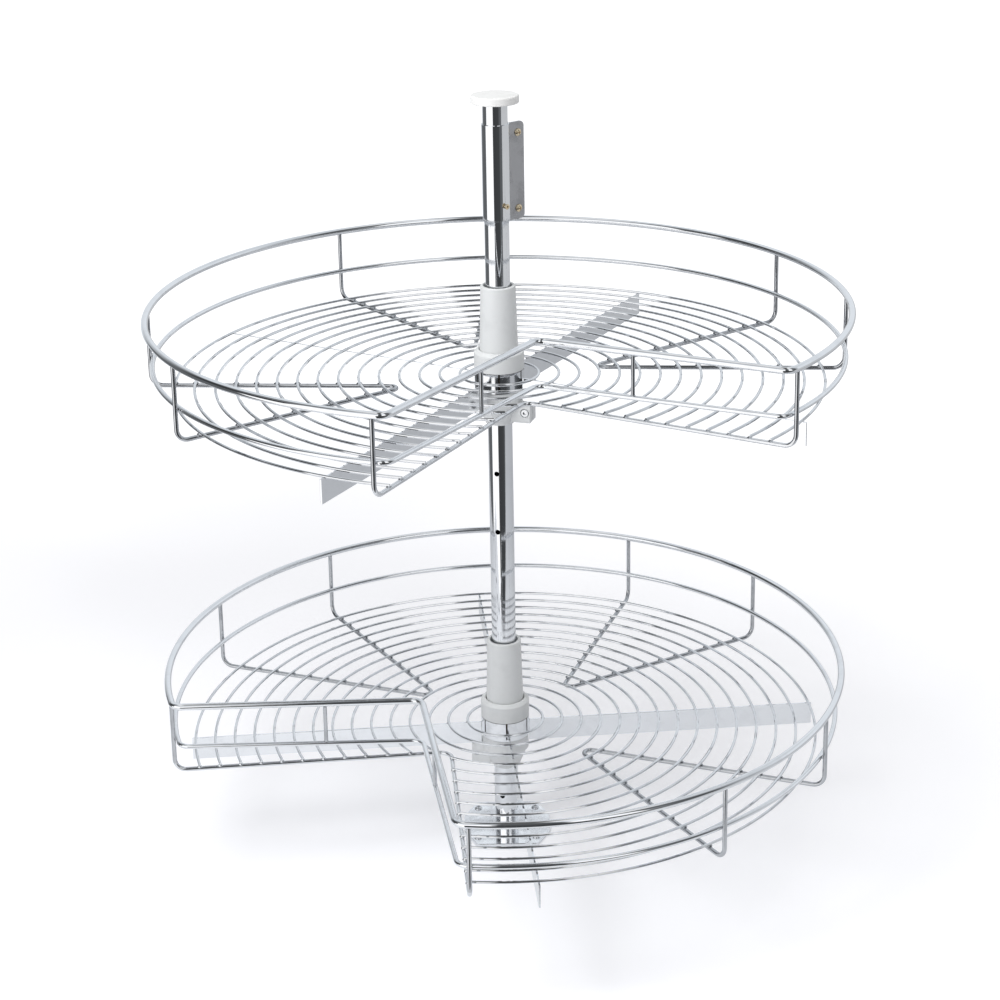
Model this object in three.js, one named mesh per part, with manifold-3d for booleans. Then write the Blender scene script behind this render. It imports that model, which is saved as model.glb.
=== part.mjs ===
// Corner carousel: two three-quarter wire baskets that turn and slide on a chrome pole.
// Millimetres, +Z up. The origin is the centre of the floor plate's underside, on the pole's axis.
import * as THREE from "three";
import { mergeVertices } from "three/addons/utils/BufferGeometryUtils.js";
import Module from "manifold-3d";

const GAP = 0.3; // left between pieces that touch
const BORE_CLEARANCE = 0.7; // between the pole and what turns on it

// Stand
const TOTAL_HEIGHT = 800;
const PLATE_THICKNESS = 3;
const PLATE_HALF_WIDTH = 46;
const PLATE_HALF_DEPTH = 45;
const PLATE_CORNER_WIDTH = 14; // what each cut corner takes off the width
const PLATE_CORNER_DEPTH = 28;
const PLATE_EDGE_BEVEL = 0.6;
const PLATE_SCREW_INSET = [15, 14]; // from the plate's sides
const PLATE_SCREW = { shank: 2.1, head: 4.2, rise: 2, drive: 1.7 };
const POLE_RADIUS = 12.5;
const POLE_WALL = 1.5;
const POLE_HOLES = [41, 345, 409]; // heights of the locating holes
const POLE_HOLE_RADIUS = 2.7;
const POLE_HOLE_ANGLE = -111; // degrees about the pole
const CAP_OVERHANG = 11.5;
const CAP_THICKNESS = 8;
const CAP_EDGE = 1;
const CAP_PLUG = 12;

// Wall bracket
const SLEEVE_BELOW_CAP = 21;
const SLEEVE_HEIGHT = 96;
const SLEEVE_WALL = 1;
const FLANGE_BELOW_SLEEVE = 1.5; // from the sleeve's top to the flange's
const FLANGE_HEIGHT = 99;
const FLANGE_REACH = 36;
const FLANGE_THICKNESS = 2.5;
const FLANGE_CORNER = 5;
const FLANGE_ANGLE = 40; // degrees about the pole
const FLANGE_SCREW_INSET = { end: 11, side: 8 };
const FLANGE_SCREW = { shank: 1.9, head: 3.9, rise: 2.2, length: 7 };
const SET_SCREW = { shank: 1.8, head: 2.8, reach: 1.5, rise: 1.4, height: 15 };

// Baskets: drops are measured from the centre of the top rim's wire
const LOWER_HEIGHT = 200;
const UPPER_BELOW_SLEEVE = 88;
const RIM_RADIUS = 351.5;
const RIM_WIRE = 3.5; // each wire's size is its radius
const RAIL_INSET = 5.1;
const RAIL_WIRE = 2.5;
const RAIL_DROP = 45;
const CUT_HALF_ANGLE = 32.4; // degrees from the cut-out's middle to its outer corners
const CUT_TIP_RADIUS = 131;
const CUT_BEND = 12;
const FLOOR_DROP = 73;
const FLOOR_WIRE = 1.5;
const FLOOR_FIRST = 40;
const FLOOR_OUTER_INSET = 24.5; // from the rim to the last floor ring
const WHOLE_RINGS = 3;
const PART_RINGS = 12;
const PART_RINGS_PAST_TIP = 13.5; // from the edge wire's inner corner to the first part ring
const EDGE_WIRE = 2.25;
const EDGE_TIP_RADIUS = 88;
const EDGE_PAST_CUT = 1.9; // degrees
const WELD = 0.9; // how far the floor wires sink into the edge wire
const HAIRPIN_ANGLES = [90, 180, 270];
const HAIRPIN_HALF_ANGLE = 14.6;
const HAIRPIN_TIP_RADIUS = 94;
const HAIRPIN_BEND = 7;
const ARM_ANGLES = [45, 135, 225, 315];
const ARM_HEIGHT = 24;
const ARM_THICKNESS = 2;
const ARM_PAST_RINGS = 4;
const CUT_POST_ALONG = 98; // from the cut-out's inner corner, along its edge
const CUT_POST_WIRE = 2;

// Hub
const HUB_RISE = 20; // above the rim
const HUB_SLEEVE_HEIGHT = 80;
const HUB_WALL = 4.5;
const HUB_TAPER = 1.8;
const HUB_MOUTH = { wider: 1.3, depth: 14, slope: 4 };
const COLLAR_RIM = 6; // beyond the sleeve's foot
const COLLAR_LIP = 13.5; // how far it rises round the sleeve's foot
const COLLAR_FLOOR = 6.7;
const COLLAR_BEVEL = [2.5, 3.5];
const SLOTTED_HEIGHT = 20.3;
const SLOTS = 6;
const SLOT = { width: 1.8, depth: 3, floor: 2 };
const SLOT_ANGLE = 43; // degrees to the first slot

// Stop collar under each hub
const STOP_HEIGHT = 37;
const STOP_INSIDE_COLLAR = 1;
const CONE = { foot: 2, top: 9.2, height: 18 }; // wall at its foot and top
const DISC_BEVEL = 2;
const LUG_BELOW_ARMS = 1.2;
const LUG_HEIGHT = 21;
const LUG_PAST_DISC = 10.5;
const LUG_WIDTH = 20;
const CLAMP_SLIT = 1.6;
const CLAMP_SCREW = { shank: 2.4, head: 4.2, rise: 3.2, inset: 5.5, clearance: 0.4 };

// Worked out from those
const bracketSleeveTop = TOTAL_HEIGHT - CAP_THICKNESS - SLEEVE_BELOW_CAP;
const bracketSleeveFoot = bracketSleeveTop - SLEEVE_HEIGHT;
const flangeTop = bracketSleeveTop - FLANGE_BELOW_SLEEVE;
const flangeFoot = flangeTop - FLANGE_HEIGHT;
const BASKETS = [
  { name: "lower", height: LOWER_HEIGHT, facing: -130, lug: 172 },
  { name: "upper", height: bracketSleeveFoot - UPPER_BELOW_SLEEVE, facing: -74, lug: -17 },
];
const railRadius = RIM_RADIUS - RAIL_INSET;
const postRing = railRadius + RAIL_WIRE + GAP + EDGE_WIRE; // where the upright wires stand
const postTop = -RIM_WIRE - GAP;
const floorOuter = RIM_RADIUS - FLOOR_OUTER_INSET;
const spread = (from, to, parts, count) =>
  Array.from({ length: count }, (_, i) => from + ((to - from) * i) / parts);
const partFirst = EDGE_TIP_RADIUS + PART_RINGS_PAST_TIP;
const wholeRadii = spread(FLOOR_FIRST, partFirst, WHOLE_RINGS, WHOLE_RINGS);
const partRadii = spread(partFirst, floorOuter, PART_RINGS - 1, PART_RINGS);
const armTop = -FLOOR_DROP - FLOOR_WIRE - GAP;
const armFoot = armTop - ARM_HEIGHT;
const hubBore = POLE_RADIUS + BORE_CLEARANCE;
const sleeveTopRadius = hubBore + HUB_WALL;
const sleeveFootRadius = sleeveTopRadius + HUB_TAPER;
const sleeveFoot = HUB_RISE - HUB_SLEEVE_HEIGHT;
const collarRadius = sleeveFootRadius + COLLAR_RIM;
const collarTop = sleeveFoot + COLLAR_LIP;
const collarFoot = sleeveFoot - GAP - COLLAR_FLOOR;
const slottedTop = collarFoot - GAP;
const slottedFoot = slottedTop - SLOTTED_HEIGHT;
const stopTop = slottedFoot - GAP;
const stopFoot = stopTop - STOP_HEIGHT;
const stopRadius = collarRadius - STOP_INSIDE_COLLAR;
const lugTop = armFoot - LUG_BELOW_ARMS;
const lugFoot = lugTop - LUG_HEIGHT;
const clampAt = { x: stopRadius + LUG_PAST_DISC - CLAMP_SCREW.inset, z: (lugTop + lugFoot) / 2 };

const wasm = await Module();
wasm.setup();

const chrome = new THREE.MeshStandardMaterial({ color: 0xd8dcdf, metalness: 1, roughness: 0.12 });
const satin = new THREE.MeshStandardMaterial({ color: 0xb4b9bd, metalness: 1, roughness: 0.4 });
const brass = new THREE.MeshStandardMaterial({ color: 0xc8a468, metalness: 1, roughness: 0.3 });
const plastic = new THREE.MeshStandardMaterial({ color: 0xc4c6c4, roughness: 0.45 });
const pale = new THREE.MeshStandardMaterial({ color: 0xf0f0ee, roughness: 0.4 });

const radians = THREE.MathUtils.degToRad;
const polar = (radius, degrees, z = 0) =>
  new THREE.Vector3(radius * Math.cos(radians(degrees)), radius * Math.sin(radians(degrees)), z);

// Solids and booleans

function solidOf(geometry) {
  const bare = geometry.clone().deleteAttribute("normal").deleteAttribute("uv");
  const merged = mergeVertices(bare, 1e-4);
  return new wasm.Manifold(
    new wasm.Mesh({
      numProp: 3,
      vertProperties: merged.attributes.position.array,
      triVerts: new Uint32Array(merged.index.array),
    }),
  );
}

function geometryOf(solid) {
  const mesh = solid.getMesh();
  const positions = new THREE.BufferAttribute(new Float32Array(mesh.vertProperties), mesh.numProp);
  return new THREE.BufferGeometry()
    .setAttribute("position", positions)
    .setIndex(new THREE.BufferAttribute(new Uint32Array(mesh.triVerts), 1));
}

const joined = (geometries) => geometryOf(wasm.Manifold.union(geometries.map(solidOf)));
const cut = (geometry, tools) =>
  geometryOf(solidOf(geometry).subtract(wasm.Manifold.union(tools.map(solidOf))));

// A turned body about Z. The profile is [radius, height] pairs, anticlockwise, closed by itself.
function turned(profile, sides) {
  const closed = [...profile, profile[0]].map(([r, z]) => new THREE.Vector2(r, z));
  return new THREE.LatheGeometry(closed, sides).rotateX(Math.PI / 2);
}

const ring = (inner, outer, foot, top, sides) =>
  turned([[inner, foot], [outer, foot], [outer, top], [inner, top]], sides);
const rod = (radius, length, sides) =>
  new THREE.CylinderGeometry(radius, radius, length, sides).rotateX(Math.PI / 2);
const box = (x0, x1, y0, y1, z0, z1) =>
  new THREE.BoxGeometry(x1 - x0, y1 - y0, z1 - z0)
    .translate((x0 + x1) / 2, (y0 + y1) / 2, (z0 + z1) / 2);

// Wires

// A path through listed points, sampled at exactly those points.
class WirePath extends THREE.Curve {
  constructor(points, closed) {
    super();
    this.points = closed ? [...points, points[0]] : points;
    this.closed = closed;
  }
  getPoint(t, target = new THREE.Vector3()) {
    const along = t * (this.points.length - 1);
    const i = Math.min(Math.floor(along + 1e-9), this.points.length - 2);
    return target.copy(this.points[i]).lerp(this.points[i + 1], along - i);
  }
  getPointAt(t, target) {
    return this.getPoint(t, target);
  }
  getTangentAt(t, target = new THREE.Vector3()) {
    const last = this.points.length - 1;
    const i = Math.round(t * last);
    const before = this.closed && i === 0 ? last - 1 : Math.max(i - 1, 0);
    const after = this.closed && i === last ? 1 : Math.min(i + 1, last);
    const ahead = this.points[after].clone().sub(this.points[i]).normalize();
    const behind = this.points[i].clone().sub(this.points[before]).normalize();
    return target.copy(ahead).add(behind).normalize();
  }
}

// Replaces each corner that has a bend radius with an arc of a few points.
function bent(corners, closed, steps = 3) {
  const points = [];
  corners.forEach(([at, radius], i) => {
    if (!radius) {
      points.push(at);
      return;
    }
    const count = corners.length;
    const before = corners[closed ? (i + count - 1) % count : i - 1][0];
    const after = corners[closed ? (i + 1) % count : i + 1][0];
    const back = before.clone().sub(at).normalize();
    const onward = after.clone().sub(at).normalize();
    const half = back.angleTo(onward) / 2;
    const middle = back.clone().add(onward).normalize();
    const centre = at.clone().addScaledVector(middle, radius / Math.sin(half));
    const start = at.clone().addScaledVector(back, radius / Math.tan(half)).sub(centre);
    const axis = back.clone().cross(onward).normalize();
    for (let k = 0; k <= steps; k++)
      points.push(start.clone().applyAxisAngle(axis, (-(Math.PI - 2 * half) * k) / steps).add(centre));
  });
  return points;
}

function wire(points, radius, sides, closed = false) {
  const path = new WirePath(points, closed);
  const steps = path.points.length - 1;
  if (closed) return new THREE.TubeGeometry(path, steps, radius, sides, true);
  const section = Array.from({ length: sides }, (_, k) => {
    const p = polar(radius, (k * 360) / sides);
    return new THREE.Vector2(p.x, p.y);
  });
  return new THREE.ExtrudeGeometry(new THREE.Shape(section), {
    steps,
    extrudePath: path,
    bevelEnabled: false,
  });
}

const arc = (radius, from, to, z, steps) =>
  Array.from({ length: steps + 1 }, (_, k) => polar(radius, from + ((to - from) * k) / steps, z));

// Builds one named mesh in a group.
function add(group, name, geometry, material) {
  const mesh = new THREE.Mesh(geometry, material);
  mesh.name = name;
  group.add(mesh);
  return mesh;
}

const group = new THREE.Group();

// Stand: floor plate with its screws, pole, cap

const plateX = PLATE_HALF_WIDTH;
const plateY = PLATE_HALF_DEPTH;
const plateCutX = plateX - PLATE_CORNER_WIDTH;
const plateCutY = plateY - PLATE_CORNER_DEPTH;
const plateShape = new THREE.Shape(
  [
    [plateX, -plateCutY], [plateX, plateCutY], [plateCutX, plateY], [-plateCutX, plateY],
    [-plateX, plateCutY], [-plateX, -plateCutY], [-plateCutX, -plateY], [plateCutX, -plateY],
  ].map(([x, y]) => new THREE.Vector2(x, y)),
);
const plate = new THREE.ExtrudeGeometry(plateShape, {
  depth: PLATE_THICKNESS - PLATE_EDGE_BEVEL,
  bevelThickness: PLATE_EDGE_BEVEL,
  bevelSize: PLATE_EDGE_BEVEL,
  bevelOffset: -PLATE_EDGE_BEVEL,
  bevelSegments: 1,
});
const screwX = plateX - PLATE_SCREW_INSET[0];
const screwY = plateY - PLATE_SCREW_INSET[1];
const plateScrews = [[1, 1], [-1, 1], [-1, -1], [1, -1]].map(([i, j]) => [i * screwX, j * screwY]);
const plateHoles = plateScrews.map(([x, y]) =>
  rod(PLATE_SCREW.shank + 0.5, 4 * PLATE_THICKNESS, 12).translate(x, y, 0),
);
const underPlate = box(-2 * plateX, 2 * plateX, -2 * plateY, 2 * plateY, -2 * PLATE_THICKNESS, 0);
add(group, "floor_plate", cut(plate, [underPlate, ...plateHoles]), chrome);
plateScrews.forEach(([x, y], i) => {
  const { shank, head, rise, drive } = PLATE_SCREW;
  const under = PLATE_THICKNESS + GAP;
  const screw = turned(
    [[0, GAP], [shank, GAP], [shank, under], [head, under], [head - 0.2, under + 0.6 * rise],
      [0.6 * head, under + rise], [0, under + rise]],
    12,
  );
  const slot = box(-drive, drive, -0.5, 0.5, under + 0.5 * rise, under + 2 * rise);
  const cross = slot.clone().rotateZ(Math.PI / 2);
  add(group, `floor_screw_${i + 1}`, cut(screw, [slot, cross]).translate(x, y, 0), chrome);
});

const poleBore = POLE_RADIUS - POLE_WALL;
const poleFoot = PLATE_THICKNESS + GAP;
const capFoot = TOTAL_HEIGHT - CAP_THICKNESS;
const poleHoles = POLE_HOLES.map((height) =>
  rod(POLE_HOLE_RADIUS, 4 * POLE_WALL, 12)
    .rotateY(Math.PI / 2)
    .translate(POLE_RADIUS, 0, height)
    .rotateZ(radians(POLE_HOLE_ANGLE)),
);
const tube = ring(poleBore, POLE_RADIUS, poleFoot, capFoot - GAP, 24);
add(group, "pole_tube", cut(tube, poleHoles), chrome);

const capRadius = POLE_RADIUS + CAP_OVERHANG;
const plugRadius = poleBore - GAP;
add(
  group,
  "top_cap",
  turned(
    [[0, capFoot - CAP_PLUG], [plugRadius, capFoot - CAP_PLUG], [plugRadius, capFoot],
      [capRadius - CAP_EDGE, capFoot], [capRadius, capFoot + CAP_EDGE],
      [capRadius, TOTAL_HEIGHT - CAP_EDGE], [capRadius - CAP_EDGE, TOTAL_HEIGHT], [0, TOTAL_HEIGHT]],
    24,
  ),
  pale,
);

// Wall bracket: a sleeve round the pole with an upright flange

const bracket = new THREE.Group();
bracket.rotation.z = radians(FLANGE_ANGLE);
group.add(bracket);
const bracketBore = POLE_RADIUS + GAP;
const bracketRadius = bracketBore + SLEEVE_WALL;
const flangeInner = bracketBore + SLEEVE_WALL / 2;
const cornerX = FLANGE_REACH - FLANGE_CORNER;
const flangeShape = new THREE.Shape();
flangeShape.moveTo(flangeInner, flangeFoot);
flangeShape.lineTo(cornerX, flangeFoot);
flangeShape.absarc(cornerX, flangeFoot + FLANGE_CORNER, FLANGE_CORNER, -Math.PI / 2, 0);
flangeShape.absarc(cornerX, flangeTop - FLANGE_CORNER, FLANGE_CORNER, 0, Math.PI / 2);
flangeShape.lineTo(flangeInner, flangeTop);
const flange = new THREE.ExtrudeGeometry(flangeShape, {
  depth: FLANGE_THICKNESS,
  bevelEnabled: false,
  curveSegments: 4,
})
  .rotateX(Math.PI / 2)
  .translate(0, FLANGE_THICKNESS / 2, 0);
const flangeScrews = [flangeFoot + FLANGE_SCREW_INSET.end, flangeTop - FLANGE_SCREW_INSET.end];
const flangeScrewX = FLANGE_REACH - FLANGE_SCREW_INSET.side;
const setScrewZ = bracketSleeveFoot + SET_SCREW.height;
// a drill of a given radius across the bracket, along Y
const drill = (radius, x, y, z) => rod(radius, 12, 10).rotateX(Math.PI / 2).translate(x, y, z);
const bracketDrills = flangeScrews.map((z) => drill(FLANGE_SCREW.shank + 0.4, flangeScrewX, 0, z));
bracketDrills.push(drill(SET_SCREW.shank + 0.3, 0, -bracketRadius, setScrewZ));
const bracketBody = joined([
  ring(bracketBore, bracketRadius, bracketSleeveFoot, bracketSleeveTop, 24),
  flange,
]);
add(bracket, "wall_bracket", cut(bracketBody, bracketDrills), chrome);
flangeScrews.forEach((z, i) => {
  const { shank, head, rise, length } = FLANGE_SCREW;
  const under = FLANGE_THICKNESS / 2 + GAP;
  const screw = turned(
    [[0, -length], [shank - 0.7, 1.5 - length], [shank, 3 - length], [shank, under], [head, under],
      [head - 0.3, under + 0.6 * rise], [0.6 * head, under + rise], [0, under + rise]],
    12,
  );
  const drive = box(-0.5 * head, 0.5 * head, -0.5, 0.5, under + 0.6 * rise, under + 2 * rise);
  const placed = cut(screw, [drive]).rotateX(Math.PI / 2).translate(flangeScrewX, 0, z);
  add(bracket, `bracket_screw_${i + 1}`, placed, brass);
});
const { shank: setShank, head: setHead, reach: setReach, rise: setRise } = SET_SCREW;
const setScrew = turned(
  [[0, 0], [setShank, 0], [setShank, setReach], [setHead, setReach],
    [setHead, setReach + setRise], [0, setReach + setRise]],
  10,
);
const setDrive = rod(0.4 * setHead, 2 * setRise, 6).translate(0, 0, setReach + setRise);
const setPlaced = cut(setScrew, [setDrive])
  .rotateX(Math.PI / 2)
  .translate(0, -POLE_RADIUS - GAP, setScrewZ);
add(bracket, "bracket_set_screw", setPlaced, brass);

// The outline shared by the top rim and the middle rail: an arc with a two-sided cut-out. The
// corners of its facets lie past the true circle by the given factor.
const LOOP_STEPS = 40;
const facetPast = 1 / Math.cos(radians((180 - CUT_HALF_ANGLE) / LOOP_STEPS));
function basketLoop(radius, drop, thickness, sides, past = 1) {
  const open = arc(radius, CUT_HALF_ANGLE, 360 - CUT_HALF_ANGLE, -drop, LOOP_STEPS);
  const corners = open.map((point) => [point.multiply(new THREE.Vector3(past, past, 1)), 0]);
  corners[0] = [polar(radius, CUT_HALF_ANGLE, -drop), CUT_BEND];
  corners[LOOP_STEPS] = [polar(radius, -CUT_HALF_ANGLE, -drop), CUT_BEND];
  corners.push([new THREE.Vector3(CUT_TIP_RADIUS, 0, -drop), CUT_BEND]);
  return wire(bent(corners, true), thickness, sides, true);
}

// The floor: part rings that end on the wire round the cut-out, which rises to the rim at each end.
function floorGrille() {
  const edgeDrop = FLOOR_DROP + FLOOR_WIRE + EDGE_WIRE - WELD;
  const side = CUT_HALF_ANGLE + EDGE_PAST_CUT;
  const apex = new THREE.Vector3(EDGE_TIP_RADIUS, 0, -edgeDrop);
  const corners = [
    [polar(postRing, side, postTop), 0],
    [polar(postRing, side, -edgeDrop), CUT_BEND],
    [apex, CUT_BEND],
    [polar(postRing, -side, -edgeDrop), CUT_BEND],
    [polar(postRing, -side, postTop), 0],
  ];
  const wires = [wire(bent(corners, false), EDGE_WIRE, 6)];
  const outer = polar(postRing, side, -edgeDrop);
  const lean = Math.atan2(outer.y, outer.x - apex.x);
  partRadii.forEach((radius) => {
    // where this ring meets the edge, as an angle about the pole
    const reach = Math.sqrt(radius ** 2 - (apex.x * Math.sin(lean)) ** 2);
    const along = reach - apex.x * Math.cos(lean);
    const meets = Math.atan2(along * Math.sin(lean), apex.x + along * Math.cos(lean));
    const end = THREE.MathUtils.radToDeg(meets - 1 / radius);
    const open = arc(radius, end, 360 - end, -FLOOR_DROP, radius < 0.6 * floorOuter ? 16 : 20);
    wires.push(wire(open, FLOOR_WIRE, 4));
  });
  return joined(wires);
}

function hairpin(middle) {
  const drop = FLOOR_DROP + FLOOR_WIRE + GAP + EDGE_WIRE;
  const left = middle - HAIRPIN_HALF_ANGLE;
  const right = middle + HAIRPIN_HALF_ANGLE;
  const corners = [
    [polar(postRing, left, postTop), 0],
    [polar(postRing, left, -drop), CUT_BEND],
    [polar(HAIRPIN_TIP_RADIUS, middle, -drop), HAIRPIN_BEND],
    [polar(postRing, right, -drop), CUT_BEND],
    [polar(postRing, right, postTop), 0],
  ];
  return wire(bent(corners, false), EDGE_WIRE, 5);
}

// A short upright between the rim and the rail, part way along one side of the cut-out.
function cutPost(side) {
  const corner = polar(RIM_RADIUS, side * CUT_HALF_ANGLE);
  const apex = new THREE.Vector3(CUT_TIP_RADIUS, 0, 0);
  const at = apex.clone().addScaledVector(corner.sub(apex).normalize(), CUT_POST_ALONG);
  const foot = -RAIL_DROP + RAIL_WIRE + GAP;
  return rod(CUT_POST_WIRE, postTop - foot, 8).translate(at.x, at.y, (postTop + foot) / 2);
}

function arm(angle) {
  const half = ARM_THICKNESS / 2;
  const strip = box(collarRadius + GAP, floorOuter + ARM_PAST_RINGS, -half, half, armFoot, armTop);
  return strip.rotateZ(radians(angle));
}

function hubSleeve() {
  const mouth = hubBore + HUB_MOUTH.wider;
  return turned(
    [
      [hubBore, sleeveFoot],
      [sleeveFootRadius - 0.6, sleeveFoot],
      [sleeveFootRadius, sleeveFoot + COLLAR_LIP],
      [sleeveTopRadius, HUB_RISE - 1.2],
      [sleeveTopRadius - 1.2, HUB_RISE],
      [mouth, HUB_RISE],
      [mouth, HUB_RISE - HUB_MOUTH.depth],
      [hubBore, HUB_RISE - HUB_MOUTH.depth - HUB_MOUTH.slope],
    ],
    20,
  );
}

function hubCollar() {
  const seat = sleeveFoot - GAP;
  const socket = sleeveFootRadius + GAP;
  const [bevelIn, bevelDown] = COLLAR_BEVEL;
  return turned(
    [
      [hubBore, collarFoot],
      [collarRadius, collarFoot],
      [collarRadius, collarTop - bevelDown],
      [collarRadius - bevelIn, collarTop],
      [socket, collarTop],
      [socket, seat],
      [hubBore, seat],
    ],
    20,
  );
}

function slottedRing() {
  const body = ring(hubBore, collarRadius, slottedFoot, slottedTop, 24);
  const { width, depth, floor } = SLOT;
  const slots = Array.from({ length: SLOTS }, (_, k) =>
    box(collarRadius - depth, 2 * collarRadius, -width / 2, width / 2, slottedFoot + floor, 0)
      .rotateZ(radians((k * 360) / SLOTS + SLOT_ANGLE)),
  );
  return cut(body, slots);
}

// A clamp with a cone below its disc and a lug on one side, split so that its screw can close it.
function stopCollar() {
  const bore = POLE_RADIUS + GAP;
  const coneTop = stopFoot + CONE.height;
  const body = turned(
    [
      [bore, stopFoot],
      [bore + CONE.foot, stopFoot],
      [bore + CONE.top, coneTop],
      [stopRadius - DISC_BEVEL, coneTop + DISC_BEVEL],
      [stopRadius, coneTop + 2 * DISC_BEVEL],
      [stopRadius, stopTop],
      [bore, stopTop],
    ],
    20,
  );
  const half = LUG_WIDTH / 2;
  const lug = box(bore + CONE.foot, stopRadius + LUG_PAST_DISC, -half, half, lugFoot, lugTop);
  const { shank, head, rise, clearance } = CLAMP_SCREW;
  const bored = (radius, y0, y1) =>
    rod(radius, y1 - y0, 12).rotateX(Math.PI / 2).translate(clampAt.x, (y0 + y1) / 2, clampAt.z);
  return cut(joined([body, lug]), [
    box(0, 2 * clampAt.x, -CLAMP_SLIT / 2, CLAMP_SLIT / 2, 2 * stopFoot, 0),
    bored(shank + clearance, -LUG_WIDTH, LUG_WIDTH),
    bored(head + clearance, -LUG_WIDTH, rise + GAP - half),
  ]);
}

function clampScrew() {
  const { shank, head, rise } = CLAMP_SCREW;
  const half = LUG_WIDTH / 2;
  const cap = turned([[0, 0], [head, 0], [head, rise - 0.6], [head - 0.6, rise], [0, rise]], 12);
  const drive = rod(0.5 * head, rise, 6).translate(0, 0, half + 0.1 * rise);
  return cut(joined([cap.translate(0, 0, half - rise), rod(shank, LUG_WIDTH - 1, 12)]), [drive])
    .rotateX(Math.PI / 2)
    .translate(clampAt.x, 0, clampAt.z);
}

for (const { name, height, facing, lug } of BASKETS) {
  const basket = new THREE.Group();
  basket.position.z = height;
  basket.rotation.z = radians(facing);
  const piece = (part, geometry, material) => add(basket, `${name}_${part}`, geometry, material);
  piece("top_rim", basketLoop(RIM_RADIUS, 0, RIM_WIRE, 8, facetPast), chrome);
  piece("middle_rail", basketLoop(railRadius, RAIL_DROP, RAIL_WIRE, 6), chrome);
  piece("floor_grille", floorGrille(), chrome);
  wholeRadii.forEach((radius, i) => {
    const around = arc(radius, 0, 360, -FLOOR_DROP, 18).slice(0, -1);
    piece(`inner_ring_${i + 1}`, wire(around, FLOOR_WIRE, 4, true), chrome);
  });
  HAIRPIN_ANGLES.forEach((middle, i) => piece(`hairpin_${i + 1}`, hairpin(middle), chrome));
  [1, -1].forEach((side, i) => piece(`cut_post_${i + 1}`, cutPost(side), chrome));
  ARM_ANGLES.forEach((angle, i) => piece(`arm_${i + 1}`, arm(angle), satin));
  piece("hub_sleeve", hubSleeve(), plastic);
  piece("hub_collar", hubCollar(), plastic);
  piece("hub_ring", slottedRing(), chrome);
  group.add(basket);

  const stop = new THREE.Group();
  stop.position.z = height;
  stop.rotation.z = radians(lug);
  add(stop, `${name}_stop_collar`, stopCollar(), plastic);
  add(stop, `${name}_stop_screw`, clampScrew(), satin);
  group.add(stop);
}

export default group;
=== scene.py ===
# Corner carousel: two three-quarter wire baskets that turn on a chrome pole.
# Metres, +Z up. The origin is the centre of the floor plate's underside, on the pole's axis.
import math

import bmesh
import bpy
import numpy as np
from mathutils import Matrix, Vector


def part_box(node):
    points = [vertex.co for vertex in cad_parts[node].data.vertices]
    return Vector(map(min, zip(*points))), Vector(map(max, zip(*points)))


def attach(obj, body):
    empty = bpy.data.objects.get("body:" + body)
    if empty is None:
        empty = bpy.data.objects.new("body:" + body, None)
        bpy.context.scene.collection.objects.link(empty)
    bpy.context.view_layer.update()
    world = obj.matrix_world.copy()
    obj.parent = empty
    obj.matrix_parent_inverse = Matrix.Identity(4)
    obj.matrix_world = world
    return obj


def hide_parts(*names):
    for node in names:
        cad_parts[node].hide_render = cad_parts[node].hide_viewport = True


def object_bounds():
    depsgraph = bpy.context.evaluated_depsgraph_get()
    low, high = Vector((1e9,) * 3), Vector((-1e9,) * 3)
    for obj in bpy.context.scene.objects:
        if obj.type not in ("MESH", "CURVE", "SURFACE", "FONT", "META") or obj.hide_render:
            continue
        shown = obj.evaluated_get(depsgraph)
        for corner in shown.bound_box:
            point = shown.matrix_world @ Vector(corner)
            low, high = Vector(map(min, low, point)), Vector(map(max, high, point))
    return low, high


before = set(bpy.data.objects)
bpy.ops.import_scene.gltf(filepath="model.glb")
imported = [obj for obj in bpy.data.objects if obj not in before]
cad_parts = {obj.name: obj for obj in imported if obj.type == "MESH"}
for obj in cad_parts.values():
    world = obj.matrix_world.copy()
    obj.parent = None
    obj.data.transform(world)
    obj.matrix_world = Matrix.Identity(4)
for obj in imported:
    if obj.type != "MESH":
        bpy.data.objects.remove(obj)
cad_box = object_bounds()


# Camera. It stands two metres in front of the pole and above the upper basket, and looks a little
# down, with its lens shifted so that the whole stand is in the square picture.
camera_at = Vector((0, -2.1086, 1.2043))
camera_pitch = math.radians(16.743)
camera_roll = math.radians(-0.991)

camera = bpy.data.objects.new("camera", bpy.data.cameras.new("camera"))
camera.data.sensor_width = 36
camera.data.lens = 78.767
camera.data.shift_x = 0.0016
camera.data.shift_y = -0.18
looking = Matrix.Rotation(math.pi / 2 - camera_pitch, 4, "X") @ Matrix.Rotation(camera_roll, 4, "Z")
camera.matrix_world = Matrix.Translation(camera_at) @ looking
bpy.context.scene.collection.objects.link(camera)
bpy.context.scene.camera = camera


# Floor plate. A stamped octagon of three-millimetre steel sheet, chrome plated, with rounded
# edges. It lies on the cupboard's floor and carries the pole.
PLATE_HALF_WIDTH = 0.046
PLATE_HALF_DEPTH = 0.045
PLATE_CORNER = (0.014, 0.028)
PLATE_BEND = 0.003
PLATE_EDGE = 0.0006
PLATE_SCREW_AT = (0.031, 0.031)
PLATE_HOLE = 0.0026
PLATE_DRILL = 0.02
PROFILE_HOLD = 0.0003
NEARLY_STRAIGHT = math.radians(89.5)
EASED_ANGLE = math.radians(40)

plate_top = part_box("floor_plate")[1].z


def socketed(name, inputs, outputs):
    """A new shader node group with the given sockets, and its node tree."""
    tree = bpy.data.node_groups.new(name, "ShaderNodeTree")
    for label, kind, value in inputs:
        socket = tree.interface.new_socket(label, in_out="INPUT", socket_type=f"NodeSocket{kind}")
        socket.default_value = value
    for label, kind in outputs:
        tree.interface.new_socket(label, in_out="OUTPUT", socket_type=f"NodeSocket{kind}")
    return tree


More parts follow.
